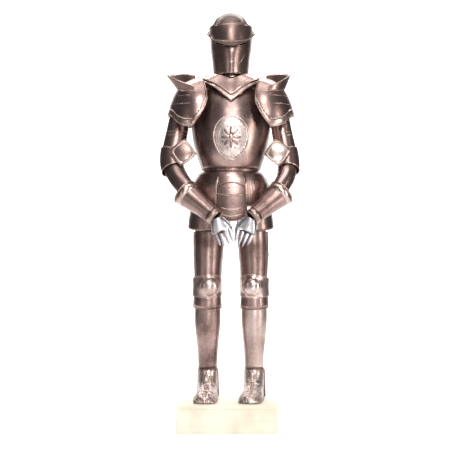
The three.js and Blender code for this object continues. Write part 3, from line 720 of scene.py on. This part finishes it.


# %% [markdown]
# ## Shoulders, elbows and hands
# Each shoulder plate has a lighter border with rivets in it and two light lame lines; their light
# colour is partly rubbed wear and partly a painted highlight. The elbow plates and the cuffs get
# the same border in a narrower strip, and all of them end in a cord.

# %% Shoulders and arms
def arm_details(name, side):
    pauldron, wing = "pauldron_" + name, "pauldron_wing_" + name
    border_band(pauldron + "_band", pauldron, 3, 0.9 * MM, border, lambda p: p.z < 1.47)
    rolled_edge(pauldron + "_edge", pauldron, 2.0 * MM, border)
    domed_heads(pauldron + "_rivets", rivets_along(pauldron, 34 * MM, 9 * MM, lambda p: p.z < 1.47),
                3.0 * MM, brass)
    rolled_edge(wing + "_edge", wing, 1.6 * MM, border)
    middle = centre_of(pauldron)
    lames = []
    for z in (1500, 1462):
        lames.append(round_line([pauldron], middle, (side * -6, side * 150), z, 0.3 * MM))
    tube(pauldron + "_lames", [run for run in lames if len(run) > 2], 1.5 * MM, border)
    couter, fan = "couter_" + name, "couter_wing_" + name
    rolled_edge(couter + "_edge", couter, 1.6 * MM, border)
    border_band(fan + "_band", fan, 2, 0.8 * MM, border)
    rolled_edge(fan + "_edge", fan, 1.6 * MM, copper)
    upper = Vector(centre_of("upper_cannon_" + name))
    rings = []
    for dz in (0.022, 0.006):
        rings += section_runs("upper_cannon_" + name, upper + Vector((0, 0, dz)), (0, 0, 1))
    tube("upper_cannon_rings_" + name, rings, 1.4 * MM, border)
    cuff = "gauntlet_cuff_" + name
    rolled_edge(cuff + "_edge", cuff, 2.6 * MM, border)
    border_band(cuff + "_band", cuff, 2, 0.8 * MM, border)
    rolled_edge("lower_cannon_edge_" + name, "lower_cannon_" + name, 1.4 * MM, copper)


for name, side in SIDES.items():
    arm_details(name, side)
print("arms dressed")


# %% Hands
def long_axis(node):
    """The two ends of a finger: its outermost points along its longest way."""
    points = [v.co for v in outer_skin(node).verts]
    middle = sum(points, Vector()) / len(points)
    far = max(points, key=lambda p: (p - middle).length)
    near = max(points, key=lambda p: (p - far).length)
    return near, far


for name in SIDES:
    for finger in ("finger_little", "finger_ring", "finger_middle", "finger_index", "thumb"):
        node = finger + "_" + name
        near, far = long_axis(node)
        rings = []
        for share in (0.25, 0.45, 0.65):
            rings += section_runs(node, near.lerp(far, share), far - near)
        tube(node + "_lames", rings, 0.9 * MM, silver)
    rolled_edge("hand_edge_" + name, "hand_plate_" + name, 1.3 * MM, silver)
print("hands dressed")


# %% [markdown]
# ## The legs
# The knee is a round boss with a thin ring at its foot, and a lame lies below it. A leather
# strap goes round the back of each thigh and shin, and the feet are engraved.

# %% Legs
# The boss: its height, how far it stands from the leg's axis, its size, and its ring.
KNEE = {"z": 636, "stand": 62, "wide": 44, "tall": 45, "deep": 30, "ring": 7, "cord": 1.8}


def knee_boss(name):
    """A smooth round dome with a thin ring at its foot, in front of the knee plate."""
    turn = Matrix.Rotation(math.radians(TURNED[name]), 4, "Z")
    axis = Matrix.Translation(Vector((LEG_X[name], BODY_Y - 4, KNEE["z"])) * MM) @ turn
    foot = axis @ Matrix.Translation((0, -KNEE["stand"] * MM, 0))
    size = Matrix.Diagonal((KNEE["wide"] * MM, KNEE["deep"] * MM, KNEE["tall"] * MM, 1))
    mesh = bmesh.new()
    bmesh.ops.create_uvsphere(
        mesh, u_segments=48, v_segments=24, radius=1,
        matrix=foot @ size @ Matrix.Rotation(math.radians(90), 4, "X"))
    # The knee boss takes the lighter copy of the copper, a painted highlight.
    keep("knee_boss_" + name, mesh, copper_painted_highlight)
    turns = [2 * math.pi * k / 48 for k in range(48)]
    share = math.sqrt(1 - (KNEE["ring"] / KNEE["deep"]) ** 2)
    rim = [foot @ Vector((share * KNEE["wide"] * math.sin(t) * MM, -KNEE["ring"] * MM,
                          share * KNEE["tall"] * math.cos(t) * MM)) for t in turns]
    tube("knee_ring_" + name, [rim + rim[:1]], KNEE["cord"] * MM, border)


def leg_details(name, side):
    knee = "poleyn_" + name
    rolled_edge(knee + "_edge", knee, 2.0 * MM, border)
    knee_boss(name)
    for node, finish in (
            ("cuisse_front_", copper), ("cuisse_back_", copper), ("knee_lame_", border)):
        rolled_edge(node + "edge_" + name, node + name, 1.7 * MM, finish)
    rolled_edge("greave_edge_" + name, "greave_" + name, 1.8 * MM, copper)
    rolled_edge("tasset_edge_" + name, "tasset_" + name, 1.9 * MM, border)
    rolled_edge("sabaton_edge_" + name, "sabaton_" + name, 1.6 * MM, copper)
    rolled_edge("heel_edge_" + name, "heel_" + name, 1.4 * MM, copper)
    leg = centre_of("greave_" + name)
    thigh = centre_of("cuisse_front_" + name)
    around = ["cuisse_front_" + name, "cuisse_back_" + name]
    for label, height, nodes, centre, start in (
            ("thigh", 780, around, thigh, 78 if side > 0 else 104),
            ("calf", 430, ["greave_" + name], leg, 104)):
        span = (side * start, side * 205)
        middle = (centre[0], 0.03)
        rows = [round_line(nodes, middle, span, height + dz, 1.6 * MM, 30) for dz in (-9, 9)]
        if min(len(row) for row in rows) > 6 and len(rows[0]) == len(rows[1]):
            strap(label + "_strap_" + name, rows, 2.0 * MM)


for name, side in SIDES.items():
    leg_details(name, side)
print("legs dressed")


# %% Engraved feet
def engraved_metal():
    """Copper cut with a shallow all-over pattern, darker where the cut is deep."""
    finish = Finish("engraved_copper", Metallic=1.0)
    to_edge = {"feature": "DISTANCE_TO_EDGE"}
    cells = finish.node("TexVoronoi", to_edge, {"Vector": finish.place, "Scale": 62.0})
    swirl = finish.noise(55.0, 4.0, 0.6)
    cut = finish.shade(cells + swirl * 0.12, 0.05, 0.16)
    light, dark = (0.62, 0.50, 0.46, 1), (0.13, 0.082, 0.068, 1)
    finish.set(Base_Color=finish.blend(cut, dark, light))
    finish.set(Roughness=0.42 - cut * 0.12)
    finish.set(Normal=finish.bump(cut + swirl * 0.3, 0.6, 0.0018))
    return finish.material


engraved = engraved_metal()
for name in SIDES:
    for node in ("sabaton_", "heel_"):
        plates[node + name].data.materials[0] = engraved
    low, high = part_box("sabaton_" + name)
    lames = []
    for share in (0.18, 0.30, 0.42, 0.54):
        y = low[1] + (high[1] - low[1]) * share
        lames += section_runs("sabaton_" + name, (0, y, 0), (0, 1, 0.25))
    tube("sabaton_lames_" + name, lames, 1.5 * MM, border)
print("feet engraved")


# %% [markdown]
# ## The plinth
# A box of painted board with a top that stands out a little. Its corners are softened, since a
# painted edge is never quite sharp. It stands for its frame node.

# %% Plinth
def soft_plinth():
    mesh = bmesh.new()
    mesh.from_mesh(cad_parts["plinth"].data)
    bmesh.ops.remove_doubles(mesh, verts=mesh.verts, dist=2e-5)
    bmesh.ops.join_triangles(
        mesh, faces=mesh.faces, angle_face_threshold=0.1, angle_shape_threshold=3.2)
    sharp = [e for e in mesh.edges if e.calc_face_angle(0) > 1.0]
    bmesh.ops.bevel(
        mesh, geom=sharp, offset=1.8 * MM, segments=3, profile=0.5, affect="EDGES", material=-1)
    piece = keep("plinth_board", mesh, paint, smooth=False)
    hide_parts("plinth")


soft_plinth()
print("plinth softened")


# %% [markdown]
# ## Floor and light
# The suit stands in front of plain white. A floor that curves up behind it gives no horizon.
# One broad lamp from the front right makes the long highlights on the metal, and a weaker one
# on the left keeps the shadow side warm and dark, which is what shows the plates' shape.

# %% Floor
def studio_floor():
    mesh = bmesh.new()
    profile = ((-6, 0), (1.8, 0), (2.6, 0.05), (3.1, 0.35), (3.4, 1.0), (3.4, 5))
    corners = [mesh.verts.new((-2.6, y, z)) for y, z in profile]
    edges = [mesh.edges.new(pair) for pair in zip(corners, corners[1:])]
    made = bmesh.ops.extrude_edge_only(mesh, edges=edges)["geom"]
    far = [g for g in made if isinstance(g, bmesh.types.BMVert)]
    bmesh.ops.translate(mesh, vec=(5.2, 0, 0), verts=far)
    bmesh.ops.recalc_face_normals(mesh, faces=mesh.faces)
    data = bpy.data.meshes.new("studio_floor")
    mesh.to_mesh(data)
    mesh.free()
    for face in data.polygons:
        face.use_smooth = True
    floor = bpy.data.objects.new("studio_floor", data)
    bpy.context.scene.collection.objects.link(floor)
    white = Finish("studio_white", Roughness=0.9)
    white.set(Base_Color=(0.93, 0.93, 0.93, 1))
    data.materials.append(white.material)


studio_floor()


# %% Lamps and world
def lamp(name, place, aim, size, power, colour=(1, 1, 1)):
    data = bpy.data.lights.new(name, "AREA")
    data.shape, data.size, data.size_y = "RECTANGLE", size[0], size[1]
    data.energy, data.color = power, colour
    light = bpy.data.objects.new(name, data)
    light.location = place
    light.rotation_euler = (Vector(aim) - Vector(place)).to_track_quat("-Z", "Y").to_euler()
    bpy.context.scene.collection.objects.link(light)


CHEST = (0, 0, 1.25)
lamp("key", (0.55, -3.5, 2.5), CHEST, (1.3, 1.1), 70, (1.0, 0.98, 0.97))
lamp("high", (0.15, -3.0, 4.1), (0, 0, 1.5), (1.3, 0.8), 42)
lamp("side", (2.7, -1.7, 1.3), CHEST, (0.6, 2.4), 42, (1.0, 0.96, 0.92))
lamp("fill", (-2.6, -2.7, 1.4), CHEST, (0.4, 2.2), 10, (1.0, 0.94, 0.92))
lamp("knees", (0.5, -3.3, 0.5), (0, 0, 0.6), (0.7, 0.6), 16)
lamp("backdrop", (0, 1.5, 4.2), (0, 3.4, 1.0), (4.6, 1.0), 260)
lamp("ground", (0, -0.6, 4.6), (0, 0.8, 0), (3.4, 1.6), 62)
world = bpy.data.worlds.new("studio")
bpy.context.scene.world = world
world.use_nodes = True
backing = world.node_tree.nodes["Background"]
backing.inputs[0].default_value = (0.95, 0.96, 1.0, 1)
backing.inputs[1].default_value = 0.10
bpy.context.scene.view_settings.view_transform = "Standard"


# %% Update the view layer
bpy.context.view_layer.update()
